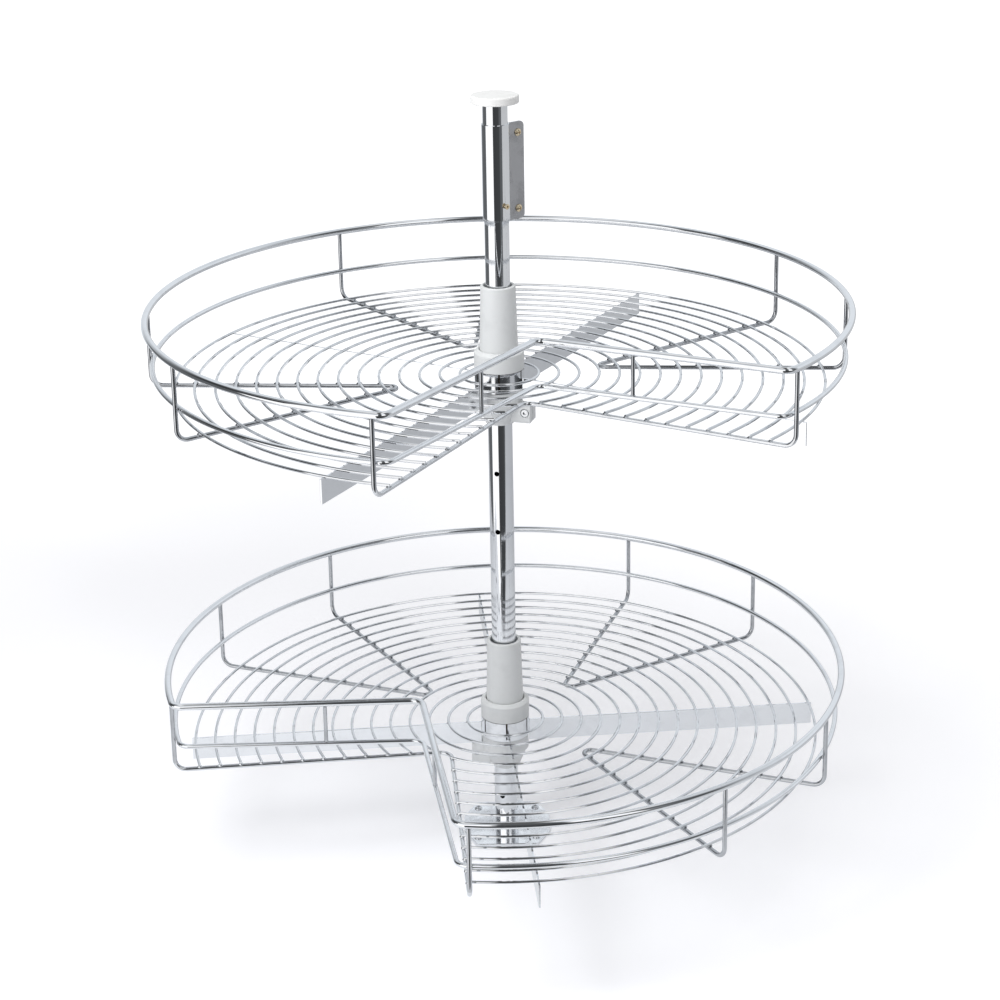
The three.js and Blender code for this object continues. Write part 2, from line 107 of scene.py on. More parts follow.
def linked(tree, kind, settings=(), **inputs):
    """A node of a kind, its settings and its inputs by name, each a value or another socket."""
    node = tree.nodes.new(f"ShaderNode{kind}")
    for key, value in dict(settings).items():
        setattr(node, key, value)
    for key, value in inputs.items():
        socket = node.inputs[int(key[1:])] if key[1:].isdigit() else node.inputs[key.replace("_", " ")]
        if isinstance(value, bpy.types.NodeSocket):
            tree.links.new(value, socket)
        else:
            socket.default_value = value
    return node


def eased(tree, value, start, end, low=0.0, high=1.0):
    """A smooth step from low to high, while a value goes from start to end."""
    return linked(tree, "MapRange", {"interpolation_type": "SMOOTHSTEP"}, Value=value, From_Min=start,
                  From_Max=end, To_Min=low, To_Max=high).outputs["Result"]


def worked(tree, operation, *values):
    """The result of a sum with one, two or three values."""
    given = {f"_{i}": value for i, value in enumerate(values)}
    return linked(tree, "Math", {"operation": operation}, **given).outputs[0]


def blended(tree, share, first, second):
    """A colour that is the first where the share is 0 and the second where it is 1."""
    return linked(tree, "Mix", {"data_type": "RGBA"}, _0=share, _6=first, _7=second).outputs[2]


def plating_group():
    """Plated metal: faint haze in the plating, fine ripple of the metal below, and specks of dust."""
    tree = socketed(
        "plating",
        [("Color", "Color", (0.8, 0.8, 0.8, 1)), ("Haze Color", "Color", (0.7, 0.7, 0.7, 1)),
         ("Roughness", "Float", 0.08), ("Haze Roughness", "Float", 0.2), ("Haze Size", "Float", 40.0),
         ("Ripple Size", "Vector", (300.0, 300.0, 300.0))],
        [("Color", "Color"), ("Roughness", "Float"), ("Height", "Float")],
    )
    given = tree.nodes.new("NodeGroupInput").outputs
    out = tree.nodes.new("NodeGroupOutput").inputs
    place = linked(tree, "TexCoord").outputs["Object"]
    haze = linked(tree, "TexNoise", Vector=place, Scale=given["Haze Size"], Detail=4.0, Roughness=0.6)
    patch = eased(tree, haze.outputs["Fac"], start=0.45, end=0.75)
    speck = linked(tree, "TexNoise", Vector=place, Scale=900.0, Detail=2.0)
    dust = linked(tree, "MapRange", Value=speck.outputs["Fac"], From_Min=0.68, From_Max=0.76)
    marked = worked(tree, "MAXIMUM", patch, dust.outputs["Result"])
    tint = blended(tree, marked, given["Color"], given["Haze Color"])
    rough = linked(tree, "Mix", _0=marked, _2=given["Roughness"], _3=given["Haze Roughness"])
    stretched = linked(tree, "VectorMath", {"operation": "MULTIPLY"}, _0=place, _1=given["Ripple Size"])
    ripple = linked(tree, "TexNoise", Vector=stretched.outputs[0], Scale=1.0, Detail=2.0)
    tree.links.new(tint, out["Color"])
    tree.links.new(rough.outputs[0], out["Roughness"])
    tree.links.new(ripple.outputs["Fac"], out["Height"])
    return tree


plating = plating_group()


def plated(name, color, haze_color, roughness, haze_roughness, haze_size, ripple_size, ripple_depth,
           metallic=1.0):
    """A finish whose colour, gloss and surface vary as the plating group says."""
    material = bpy.data.materials.new(name)
    material.use_nodes = True
    tree = material.node_tree
    surface = tree.nodes["Principled BSDF"]
    group = tree.nodes.new("ShaderNodeGroup")
    group.node_tree = plating
    group.inputs["Color"].default_value = (*color, 1)
    group.inputs["Haze Color"].default_value = (*haze_color, 1)
    group.inputs["Roughness"].default_value = roughness
    group.inputs["Haze Roughness"].default_value = haze_roughness
    group.inputs["Haze Size"].default_value = haze_size
    group.inputs["Ripple Size"].default_value = ripple_size
    bump = linked(tree, "Bump", Height=group.outputs["Height"], Strength=1.0, Distance=ripple_depth)
    tree.links.new(group.outputs["Color"], surface.inputs["Base Color"])
    tree.links.new(group.outputs["Roughness"], surface.inputs["Roughness"])
    tree.links.new(bump.outputs["Normal"], surface.inputs["Normal"])
    surface.inputs["Metallic"].default_value = metallic
    return material


# Brighter than the other chrome: painted light that makes up for the shade the baskets above throw into the
# plate's reflection.
chrome_sheet_brightened = plated("chrome_sheet_brightened", color=(0.95, 0.96, 0.98), haze_color=(0.88, 0.89, 0.91),
                      roughness=0.06, haze_roughness=0.16, haze_size=45.0,
                      ripple_size=(160, 160, 160), ripple_depth=0.00002)


def piece(name, mesh, material, body, node, place=None, sharp=35):
    """Puts a mesh into the scene as the piece that stands for a node and moves with its body."""
    if isinstance(mesh, bmesh.types.BMesh):
        work = mesh
        mesh = bpy.data.meshes.new(name)
        bmesh.ops.recalc_face_normals(work, faces=work.faces)
        work.to_mesh(mesh)
        work.free()
    if place is not None:
        mesh.transform(place)
    mesh.name = name
    mesh.materials.clear()
    mesh.materials.append(material)
    mesh.shade_smooth()
    mesh.set_sharp_from_angle(angle=math.radians(sharp))
    made = bpy.data.objects.new(name, mesh)
    bpy.context.scene.collection.objects.link(made)
    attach(made, body)
    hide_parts(node)
    return made


def held(points, margin, closed=True):
    """The same run of points, with more of them near both ends of each long side."""
    run = []
    for here, there in zip(points, points[1:] + (points[:1] if closed else [])):
        here, there = Vector(here), Vector(there)
        run.append(here)
        if (there - here).length > 6 * margin:
            step = (there - here).normalized() * margin
            run += [here + step, there - step]
    return run if closed else [*run, Vector(points[-1])]


def turned(profile, sides):
    """A closed profile of (radius, height) points, turned about the Z axis."""
    work = bmesh.new()
    rings = []
    for radius, height in held(profile, PROFILE_HOLD):
        if radius < 1e-7:
            rings.append([work.verts.new((0, 0, height))] * sides)
            continue
        angles = (2 * math.pi * k / sides for k in range(sides))
        rings.append([work.verts.new((radius * math.cos(a), radius * math.sin(a), height)) for a in angles])
    for here, there in zip(rings, rings[1:] + rings[:1]):
        for k in range(sides):
            corners = [here[k], here[(k + 1) % sides], there[(k + 1) % sides], there[k]]
            distinct = list(dict.fromkeys(corners))
            if len(distinct) > 2:
                work.faces.new(distinct)
    return work


def rounded(corners, steps):
    """Corner points, each with a bend radius, as one run of points with an arc at each bend."""
    points = []
    count = len(corners)
    for i, (at, bend) in enumerate(corners):
        at = Vector(at)
        if not bend:
            points.append(at)
            continue
        back = (Vector(corners[(i - 1) % count][0]) - at).normalized()
        onward = (Vector(corners[(i + 1) % count][0]) - at).normalized()
        half = back.angle(onward) / 2
        if half > NEARLY_STRAIGHT:
            points.append(at)
            continue
        centre = at + (back + onward).normalized() * (bend / math.sin(half))
        arm = at + back * (bend / math.tan(half)) - centre
        other = at + onward * (bend / math.tan(half)) - centre
        turn = arm.angle(other)
        for k in range(steps + 1):
            share = k / steps
            spun = (arm * math.sin((1 - share) * turn) + other * math.sin(share * turn)) / math.sin(turn)
            points.append(centre + spun)
    return points


def pressed(outline, push):
    """A flat sheet: an outline of points, thickened along a vector."""
    work = bmesh.new()
    face = work.faces.new([work.verts.new(point) for point in outline])
    raised = bmesh.ops.extrude_face_region(work, geom=[face])
    moved = [v for v in raised["geom"] if isinstance(v, bmesh.types.BMVert)]
    bmesh.ops.translate(work, vec=push, verts=moved)
    return work


def plate_blank():
    """The stamped octagon, its upper edges eased."""
    x, y = PLATE_HALF_WIDTH, PLATE_HALF_DEPTH
    cut_x, cut_y = x - PLATE_CORNER[0], y - PLATE_CORNER[1]
    outline = [(x, -cut_y), (x, cut_y), (cut_x, y), (-cut_x, y), (-x, cut_y), (-x, -cut_y),
               (-cut_x, -y), (cut_x, -y)]
    soft = rounded([((*point, 0), PLATE_BEND) for point in outline], steps=5)
    work = pressed(soft, (0, 0, plate_top))
    upper = [e for e in work.edges if min(v.co.z for v in e.verts) > plate_top / 2]
    bmesh.ops.bevel(work, geom=upper, offset=PLATE_EDGE, segments=3, profile=0.5, affect="EDGES")
    return work


def combined(work, tools, operation, ease=0.0):
    """Joins tool shapes to a body or takes them out of it, and can ease its sharp edges."""
    objects = []
    for shape in [work, *tools]:
        mesh = bpy.data.meshes.new("blank")
        bmesh.ops.recalc_face_normals(shape, faces=shape.faces)
        shape.to_mesh(mesh)
        shape.free()
        objects.append(bpy.data.objects.new("blank", mesh))
        bpy.context.scene.collection.objects.link(objects[-1])
    blank = objects[0]
    for tool in objects[1:]:
        step = blank.modifiers.new("step", "BOOLEAN")
        step.operation = operation
        step.solver = "EXACT"
        step.object = tool
    if ease:
        soften = blank.modifiers.new("ease", "BEVEL")
        soften.width = ease
        soften.segments = 2
        soften.limit_method = "ANGLE"
        soften.angle_limit = EASED_ANGLE
    bpy.context.view_layer.update()
    shaped = blank.evaluated_get(bpy.context.evaluated_depsgraph_get())
    result = bmesh.new()
    result.from_mesh(shaped.to_mesh())
    shaped.to_mesh_clear()
    for used in objects:
        bpy.data.meshes.remove(used.data)
    return result


def drilled(work, tools, ease=0.0):
    """Takes tool shapes out of a body, and can ease the sharp edges that are left."""
    return combined(work, tools, "DIFFERENCE", ease)


def peg(radius, length, sides=48):
    """A plain round shape on the Z axis, centred on the origin."""
    half = length / 2
    return turned([(0, -half), (radius, -half), (radius, half), (0, half)], sides)


def block(low, high):
    """A plain rectangular shape between two corners."""
    work = bmesh.new()
    bmesh.ops.create_cube(work, size=1)
    low, high = Vector(low), Vector(high)
    for v in work.verts:
        v.co = (low + high) / 2 + Vector(a * b for a, b in zip(v.co, high - low))
    return work


def placed(work, matrix):
    """The same shape, moved by a matrix."""
    work.transform(matrix)
    return work


screw_x, screw_y = PLATE_SCREW_AT
plate_screws = [(screw_x, screw_y), (-screw_x, screw_y), (-screw_x, -screw_y), (screw_x, -screw_y)]
plate_holes = [placed(peg(PLATE_HOLE, PLATE_DRILL), Matrix.Translation((x, y, 0))) for x, y in plate_screws]
piece("floor_plate_sheet", drilled(plate_blank(), plate_holes), chrome_sheet_brightened, "stand", "floor_plate",
      sharp=12)


# Floor screws. Four pan-head wood screws with a cross recess, bright plated, one near each
# corner of the plate.
FLOOR_SHANK = 0.0021
FLOOR_RECESS = 0.0018
CROSS_START = 20
CROSS_STEP = 37
PAN_SIDE, PAN_SIDE_BEND = 0.35, 0.4
PAN_CROWN, PAN_CROWN_BEND = 0.55, 0.5
RECESS_DEPTH = 0.75
RECESS_ARM = 0.22


def lathed(corners, steps, sides):
    """A closed profile of (radius, height, bend) corners, turned about the Z axis."""
    run = rounded([((radius, 0, height), bend) for radius, height, bend in corners], steps)
    return turned([(point.x, point.z) for point in run], sides)


def cross_screw(shank, head, rise, under, tip, recess):
    """A pan-head screw standing on the Z axis, its head's underside at the given height."""
    top = under + rise
    body = lathed([(0, tip, 0), (shank, tip, 0), (shank, under, 0), (head, under, 0),
                   (head, under + PAN_SIDE * rise, PAN_SIDE_BEND * rise),
                   (PAN_CROWN * head, top, PAN_CROWN_BEND * rise), (0, top, 0)], steps=6, sides=32)
    foot, arm = top - RECESS_DEPTH * rise, RECESS_ARM * recess
    return drilled(body, [block((-recess, -arm, foot), (recess, arm, top + rise)),
                          block((-arm, -recess, foot), (arm, recess, top + rise))])


chrome_screw = plated("chrome_screw", color=(0.74, 0.75, 0.77), haze_color=(0.6, 0.61, 0.63),
                      roughness=0.16, haze_roughness=0.3, haze_size=160.0,
                      ripple_size=(700, 700, 700), ripple_depth=0.00003)
for i, (x, y) in enumerate(plate_screws, 1):
    node = f"floor_screw_{i}"
    low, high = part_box(node)
    shape = cross_screw(FLOOR_SHANK, head=(high.x - low.x) / 2, rise=high.z - plate_top, under=plate_top,
                        tip=low.z, recess=FLOOR_RECESS)
    turn = Matrix.Rotation(math.radians(CROSS_START + CROSS_STEP * i), 4, "Z")
    piece(f"floor_screw_head_{i}", shape, chrome_screw, "stand", node,
          Matrix.Translation((x, y, 0)) @ turn)


# Pole. A steel tube of 25 mm, chrome plated and polished, with small locating holes on one side,
# welded upright to the floor plate.
POLE_RADIUS = 0.0125
POLE_BORE = 0.011
POLE_HOLES = (0.041, 0.345, 0.409)
POLE_HOLE_RADIUS = 0.0027
POLE_HOLE_ANGLE = math.radians(-111)
POLE_DRILL = 0.008


def tube(bore, radius, foot, top, sides):
    """A plain round tube on the Z axis."""
    return turned([(bore, foot), (radius, foot), (radius, top), (bore, top)], sides)


pole_low, pole_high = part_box("pole_tube")
sideways = Matrix.Rotation(POLE_HOLE_ANGLE, 4, "Z") @ Matrix.Rotation(math.pi / 2, 4, "Y")
pole_holes = [
    placed(peg(POLE_HOLE_RADIUS, POLE_DRILL, sides=24),
           Matrix.Translation((0, 0, height)) @ sideways @ Matrix.Translation((0, 0, POLE_RADIUS)))
    for height in POLE_HOLES
]
chrome_tube = plated("chrome_tube", color=(0.86, 0.87, 0.89), haze_color=(0.82, 0.83, 0.85),
                     roughness=0.04, haze_roughness=0.1, haze_size=30.0,
                     ripple_size=(120, 120, 20), ripple_depth=0.00001)
piece("pole_tube_polished", drilled(tube(POLE_BORE, POLE_RADIUS, pole_low.z, pole_high.z, 96), pole_holes),
      chrome_tube, "stand", "pole_tube")


# Cap. An off-white moulded disc that plugs the top of the pole and pads it against the
# cupboard's top.
CAP_PLUG = 0.0107
CAP_THICKNESS = 0.008
PLUG_TIP_BEND = 0.0006
PLUG_ROOT_BEND = 0.0004
CAP_FOOT_BEND = 0.0009
CAP_TOP_BEND = 0.0014


def moulded(name, color, shade, roughness, mottle):
    """Moulded plastic: slight mottling from the melt, and the fine grain of the mould."""
    return plated(name, color, haze_color=shade, roughness=roughness, haze_roughness=roughness + 0.12,
                  haze_size=mottle, ripple_size=(2600, 2600, 2600), ripple_depth=0.00002, metallic=0.0)


white_plastic = moulded("white_plastic", (0.80, 0.80, 0.79), shade=(0.74, 0.74, 0.73),
                        roughness=0.38, mottle=60.0)
cap_low, cap_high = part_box("top_cap")
cap_radius, cap_foot = cap_high.x, cap_high.z - CAP_THICKNESS
cap = lathed([(0, cap_low.z, 0), (CAP_PLUG, cap_low.z, PLUG_TIP_BEND), (CAP_PLUG, cap_foot, PLUG_ROOT_BEND),
              (cap_radius, cap_foot, CAP_FOOT_BEND), (cap_radius, cap_high.z, CAP_TOP_BEND),
              (0, cap_high.z, 0)], steps=5, sides=96)
piece("pole_cap", cap, white_plastic, "stand", "top_cap")


# Wall bracket. A chrome sleeve round the pole with an upright flange of duller pressed steel, held
# to the cupboard's side by two yellow screws and locked on the pole by a set screw.
FLANGE_ANGLE = math.radians(40)
FLANGE_HEIGHT = 0.099
FLANGE_REACH = 0.036
FLANGE_CORNER = 0.005
FLANGE_THICKNESS = 0.0025
FLANGE_SINK = 0.0002
FLANGE_HOLE = 0.0023
FLANGE_EDGE = 0.0005
SLEEVE_BORE = 0.0128
SLEEVE_RADIUS = 0.0138
SLEEVE_HEIGHT = 0.096
SLEEVE_HOLE = 0.0021
SLEEVE_EDGE = 0.0003
BRACKET_DRILL = 0.012
BRACKET_SCREW_X = 0.028
SET_SHANK = 0.0018
SET_HEAD = 0.0028
SET_UNDER = 0.003
SET_TOP = 0.0044
SET_EDGE = 0.0003
SET_FOOT_EDGE = 0.0002
SET_SOCKET = 0.0012
SET_SOCKET_DEPTH = 0.0015
SET_GAP = 0.0003

bracket_turn = Matrix.Rotation(FLANGE_ANGLE, 4, "Z")
bracket_foot, bracket_top = (corner.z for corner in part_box("wall_bracket"))
flange_screws = [sum(corner.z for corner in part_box(f"bracket_screw_{i}")) / 2 for i in (1, 2)]
set_screw_z = sum(corner.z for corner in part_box("bracket_set_screw")) / 2


def flange_blank():
    """The flange: a flat plate in the XZ plane with two round outer corners."""
    root, top = SLEEVE_RADIUS - FLANGE_SINK, bracket_foot + FLANGE_HEIGHT
    corners = [((root, 0, bracket_foot), 0), ((FLANGE_REACH, 0, bracket_foot), FLANGE_CORNER),
               ((FLANGE_REACH, 0, top), FLANGE_CORNER), ((root, 0, top), 0)]
    half = Vector((0, FLANGE_THICKNESS / 2, 0))
    return pressed([point - half for point in rounded(corners, steps=10)], 2 * half)


def crosswise(radius, length, x, y, z):
    """A round tool that lies along Y."""
    lying = Matrix.Rotation(math.pi / 2, 4, "X")
    return placed(peg(radius, length, sides=32), Matrix.Translation((x, y, z)) @ lying)


bracket_sleeve = tube(SLEEVE_BORE, SLEEVE_RADIUS, bracket_top - SLEEVE_HEIGHT, bracket_top, 80)
set_hole = crosswise(SLEEVE_HOLE, BRACKET_DRILL, 0, -SLEEVE_RADIUS, set_screw_z)
piece("bracket_sleeve", drilled(bracket_sleeve, [set_hole], SLEEVE_EDGE), chrome_tube, "bracket",
      "wall_bracket", bracket_turn, sharp=20)

dull_plate = plated("dull_plate", color=(0.46, 0.46, 0.475), haze_color=(0.40, 0.40, 0.41),
                    roughness=0.24, haze_roughness=0.34, haze_size=70.0,
                    ripple_size=(900, 900, 60), ripple_depth=0.00001)
flange_holes = [crosswise(FLANGE_HOLE, BRACKET_DRILL, BRACKET_SCREW_X, 0, z) for z in flange_screws]
piece("bracket_flange", drilled(flange_blank(), flange_holes, FLANGE_EDGE), dull_plate, "bracket",
      "wall_bracket", bracket_turn, sharp=20)

yellow_zinc = plated("yellow_zinc", color=(0.86, 0.73, 0.52), haze_color=(0.66, 0.50, 0.32),
                     roughness=0.24, haze_roughness=0.4, haze_size=220.0,
                     ripple_size=(700, 700, 700), ripple_depth=0.00003)
forward = Matrix.Rotation(math.pi / 2, 4, "X")
for i, z in enumerate(flange_screws, 1):
    shape = cross_screw(shank=0.0019, head=0.0039, rise=0.0025, under=FLANGE_THICKNESS / 2, tip=-0.007,
                        recess=0.0017)
    place = bracket_turn @ Matrix.Translation((BRACKET_SCREW_X, 0, z)) @ forward
    piece(f"bracket_screw_head_{i}", shape, yellow_zinc, "bracket", f"bracket_screw_{i}", place)

set_profile = [(0, 0), (SET_SHANK, 0), (SET_SHANK, SET_UNDER), (SET_HEAD - SET_FOOT_EDGE, SET_UNDER),
               (SET_HEAD, SET_UNDER + SET_EDGE), (SET_HEAD, SET_TOP - SET_EDGE),
               (SET_HEAD - SET_EDGE, SET_TOP), (0, SET_TOP)]
set_socket = placed(peg(SET_SOCKET, 2 * SET_SOCKET_DEPTH, sides=6), Matrix.Translation((0, 0, SET_TOP)))
set_place = bracket_turn @ Matrix.Translation((0, -POLE_RADIUS - SET_GAP, set_screw_z)) @ forward
piece("bracket_lock_screw", drilled(turned(set_profile, 32), [set_socket]), yellow_zinc, "bracket",
      "bracket_set_screw", set_place)


# Stop collars. Grey moulded clamps on the pole, one under each hub: a disc on a cone, with a
# split lug that a steel screw pulls shut.
STOP_BORE = 0.0128
STOP_RADIUS = 0.0245
STOP_SLOPE = 0.003
STOP_BEND = 0.001
STOP_BORE_BEND = 0.0004
STOP_EDGE = 0.0005
CONE_FOOT = 0.0148
CONE_FOOT_BEND = 0.0006
CONE_TOP = 0.022
CONE_HEIGHT = 0.018
LUG_WIDTH = 0.020
LUG_HEIGHT = 0.021
LUG_REACH = 0.035
SLIT_WIDTH = 0.0016
SLIT_REACH = 0.06
SLIT_SPARE = 0.01
CLAMP_X = 0.0295
CLAMP_HOLE = 0.0028
CLAMP_SINK = 0.0046
CLAMP_SINK_DEPTH = 0.0035
CLAMP_SHANK = 0.0024
CLAMP_SHORTER = 0.001
CLAMP_HEAD = 0.0042
CLAMP_RISE = 0.0032
CLAMP_HEAD_BENDS = (0.0003, 0.0007)
CLAMP_SOCKET = 0.0021
CLAMP_SOCKET_DEPTH = 0.002

grey_plastic = moulded("grey_plastic", (0.69, 0.705, 0.71), shade=(0.64, 0.655, 0.66),
                       roughness=0.36, mottle=55.0)


def direction(*nodes):
    """The bearing of the middle of some nodes, seen from the pole."""
    middle = sum((sum(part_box(node), Vector()) for node in nodes), Vector())
    return math.atan2(middle.y, middle.x)


def stop_clamp(foot, top, clamp_z):
    """The disc, cone and lug in one, with the slit, the screw's hole and its sunk seat."""
    cone_top = foot + CONE_HEIGHT
    body = lathed([(STOP_BORE, foot, 0), (CONE_FOOT, foot, CONE_FOOT_BEND), (CONE_TOP, cone_top, STOP_BEND),
                   (STOP_RADIUS, cone_top + STOP_SLOPE, STOP_BEND), (STOP_RADIUS, top, STOP_BEND),
                   (STOP_BORE, top, STOP_BORE_BEND)], steps=4, sides=72)
    half, rise = LUG_WIDTH / 2, LUG_HEIGHT / 2
    lug = block((CONE_FOOT, -half, clamp_z - rise), (LUG_REACH, half, clamp_z + rise))
    slit = block((0, -SLIT_WIDTH / 2, foot - SLIT_SPARE), (SLIT_REACH, SLIT_WIDTH / 2, top + SLIT_SPARE))
    hole = crosswise(CLAMP_HOLE, 3 * LUG_WIDTH, CLAMP_X, 0, clamp_z)
    sink = crosswise(CLAMP_SINK, LUG_WIDTH, CLAMP_X, CLAMP_SINK_DEPTH - LUG_WIDTH, clamp_z)
    return drilled(combined(body, [lug], "UNION"), [slit, hole, sink], STOP_EDGE)


def clamp_screw():
    """A cap screw with a six-sided socket, its head's top level with the lug's side."""
    half = LUG_WIDTH / 2
    foot_bend, top_bend = CLAMP_HEAD_BENDS
    head = lathed([(0, 0, 0), (CLAMP_HEAD, 0, foot_bend), (CLAMP_HEAD, CLAMP_RISE, top_bend),
                   (0, CLAMP_RISE, 0)], steps=3, sides=40)
    head = placed(head, Matrix.Translation((0, 0, half - CLAMP_RISE)))
    shank = peg(CLAMP_SHANK, LUG_WIDTH - CLAMP_SHORTER, sides=32)
    socket = placed(peg(CLAMP_SOCKET, 2 * CLAMP_SOCKET_DEPTH, sides=6), Matrix.Translation((0, 0, half)))
    return drilled(combined(head, [shank], "UNION"), [socket])


tiers = ("lower", "upper")
for tier in tiers:
    foot, top = (corner.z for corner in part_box(f"{tier}_stop_collar"))
    clamp_z = sum(corner.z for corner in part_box(f"{tier}_stop_screw")) / 2
    heading = Matrix.Rotation(direction(f"{tier}_stop_screw"), 4, "Z")
    piece(f"{tier}_stop_clamp", stop_clamp(foot, top, clamp_z), grey_plastic, f"{tier}_stop",
          f"{tier}_stop_collar", heading, sharp=20)
    piece(f"{tier}_clamp_screw", clamp_screw(), chrome_screw, f"{tier}_stop", f"{tier}_stop_screw",
          heading @ Matrix.Translation((CLAMP_X, 0, clamp_z)) @ forward)


# Hubs. Each basket turns on a grey moulded sleeve that widens downwards into a collar, and a
# chrome ring with six slots stands below it. Heights are from the middle of the basket's rim.
HUB_BORE = 0.0132
HUB_BORE_TOP = 0.002
HUB_MOUTH = 0.0145
HUB_MOUTH_FOOT = 0.006
HUB_MOUTH_BEND = 0.0008
HUB_TOP = 0.020
HUB_TOP_RADIUS = 0.0177
HUB_TOP_BEND = 0.0014
HUB_FOOT = -0.060
HUB_FOOT_RADIUS = 0.0195
HUB_FOOT_TAPER = 0.0002
HUB_FOOT_BEND = 0.0004
COLLAR_RADIUS = 0.0255
COLLAR_TOP = -0.0465
COLLAR_TOP_BEND = 0.001
COLLAR_SLOPE = (0.0028, 0.003)
COLLAR_SLOPE_BEND = 0.0016
COLLAR_MOUTH = 0.0008
COLLAR_SEAT = -0.0603
COLLAR_SEAT_GAP = 0.0006
COLLAR_FOOT = -0.067
COLLAR_FOOT_BEND = 0.0005
RING_TOP = -0.0673
RING_FOOT = -0.0876
RING_EDGE = 0.0003
SLOTS = 6
SLOT_ANGLE = 43
SLOT_WIDTH = 0.0018
SLOT_DEPTH = 0.003
SLOT_FOOT = -0.0856
SLOT_SPARE = (0.005, 0.0073)
# Where the painted shade, with a rust-brown tint, lies in the slots and on the ring's hidden top.
SLOT_DARK_INNER = 0.0142
SLOT_DARK_OUTER = 0.0249
SLOT_DARK_FOOT = -0.086

places = {}
for tier in tiers:
    low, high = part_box(f"{tier}_top_rim")
    facing = direction(f"{tier}_cut_post_1", f"{tier}_cut_post_2")
    places[tier] = Matrix.Translation((0, 0, (low.z + high.z) / 2)) @ Matrix.Rotation(facing, 4, "Z")

chrome_ring = plated("chrome_ring", color=(0.82, 0.83, 0.85), haze_color=(0.7, 0.71, 0.73),
                     roughness=0.08, haze_roughness=0.2, haze_size=120.0,
                     ripple_size=(400, 400, 400), ripple_depth=0.00002)
# Painted shade for the slots and the ring's hidden top, dark brown with a tint of rust.
slot_shade_and_rust = plated("slot_shade_and_rust", color=(0.10, 0.075, 0.055), haze_color=(0.05, 0.04, 0.03),
                    roughness=0.5, haze_roughness=0.7, haze_size=400.0,
                    ripple_size=(900, 900, 900), ripple_depth=0.00005)


def hub_sleeve():
    """The tapered sleeve that runs on the pole, with a wider mouth at its top."""
    return lathed([(HUB_BORE, HUB_FOOT, 0), (HUB_FOOT_RADIUS - HUB_FOOT_TAPER, HUB_FOOT, HUB_FOOT_BEND),
                   (HUB_FOOT_RADIUS, COLLAR_TOP, 0), (HUB_TOP_RADIUS, HUB_TOP, HUB_TOP_BEND),
                   (HUB_MOUTH, HUB_TOP, HUB_MOUTH_BEND), (HUB_MOUTH, HUB_MOUTH_FOOT, 0),
                   (HUB_BORE, HUB_BORE_TOP, 0)], steps=5, sides=72)


def hub_collar():
    """The collar round the sleeve's foot, with a sloped shoulder."""
    in_by, down_by = COLLAR_SLOPE
    return lathed([(HUB_BORE, COLLAR_FOOT, 0), (COLLAR_RADIUS, COLLAR_FOOT, COLLAR_FOOT_BEND),
                   (COLLAR_RADIUS, COLLAR_TOP - down_by, COLLAR_SLOPE_BEND),
                   (COLLAR_RADIUS - in_by, COLLAR_TOP, COLLAR_TOP_BEND),
                   (HUB_FOOT_RADIUS + COLLAR_MOUTH, COLLAR_TOP, COLLAR_MOUTH),
                   (HUB_FOOT_RADIUS + COLLAR_SEAT_GAP, COLLAR_SEAT, 0), (HUB_BORE, COLLAR_SEAT, 0)],
                  steps=5, sides=72)


def slotted_ring():
    """The ring below the collar, with upright slots cut into its outside."""
    out_by, up_by = SLOT_SPARE
    slots = []
    for k in range(SLOTS):
        slot = block((COLLAR_RADIUS - SLOT_DEPTH, -SLOT_WIDTH / 2, SLOT_FOOT),
                     (COLLAR_RADIUS + out_by, SLOT_WIDTH / 2, RING_TOP + up_by))
        slots.append(placed(slot, Matrix.Rotation(math.radians(k * 360 / SLOTS + SLOT_ANGLE), 4, "Z")))
    return drilled(tube(HUB_BORE, COLLAR_RADIUS, RING_FOOT, RING_TOP, 72), slots, RING_EDGE)


def in_slot(at):
    """Whether a point, in the basket's frame, lies in a slot or on the ring's hidden top."""
    return SLOT_DARK_INNER < at.xy.length < SLOT_DARK_OUTER and at.z > SLOT_DARK_FOOT


def darkened_where(made, material, place, chosen):
    """Gives a second material, which paints shade, to the faces whose middle, in the basket's frame, is
    chosen.
    """
    made.data.materials.append(material)
    back = place.inverted()
    for side in made.data.polygons:
        if chosen(back @ side.center):
            side.material_index = 1


for tier in tiers:
    place, body = places[tier], f"{tier}_basket"
    piece(f"{tier}_sleeve", hub_sleeve(), grey_plastic, body, f"{tier}_hub_sleeve", place)
    piece(f"{tier}_collar", hub_collar(), grey_plastic, body, f"{tier}_hub_collar", place)
    made = piece(f"{tier}_slotted_ring", slotted_ring(), chrome_ring, body, f"{tier}_hub_ring",
                 place, sharp=20)
    darkened_where(made, slot_shade_and_rust, place, in_slot)


# Arms. Four flat strips of bright zinc-plated steel stand on edge under each floor, from the
# slotted ring to the outermost floor wire, and carry it.
ARM_HEIGHT = 0.024
ARM_THICKNESS = 0.002
ARM_TOP = -0.0748
ARM_END = 0.331
ARM_EDGE = 0.0003
ARM_ANGLES = (45, 135, 225, 315)

bright_zinc = plated("bright_zinc", color=(0.89, 0.90, 0.92), haze_color=(0.83, 0.84, 0.86),
                     roughness=0.07, haze_roughness=0.16, haze_size=60.0,
                     ripple_size=(40, 40, 500), ripple_depth=0.000015)
for tier in tiers:
    for i, angle in enumerate(ARM_ANGLES, 1):
        half = ARM_THICKNESS / 2
        strip = block((COLLAR_RADIUS, -half, ARM_TOP - ARM_HEIGHT), (ARM_END, half, ARM_TOP))
        bmesh.ops.bevel(strip, geom=list(strip.edges), offset=ARM_EDGE, segments=2, profile=0.5,
                        affect="EDGES")
        place = places[tier] @ Matrix.Rotation(math.radians(angle), 4, "Z")
        piece(f"{tier}_arm_strip_{i}", strip, bright_zinc, f"{tier}_basket", f"{tier}_arm_{i}",
              place, sharp=20)


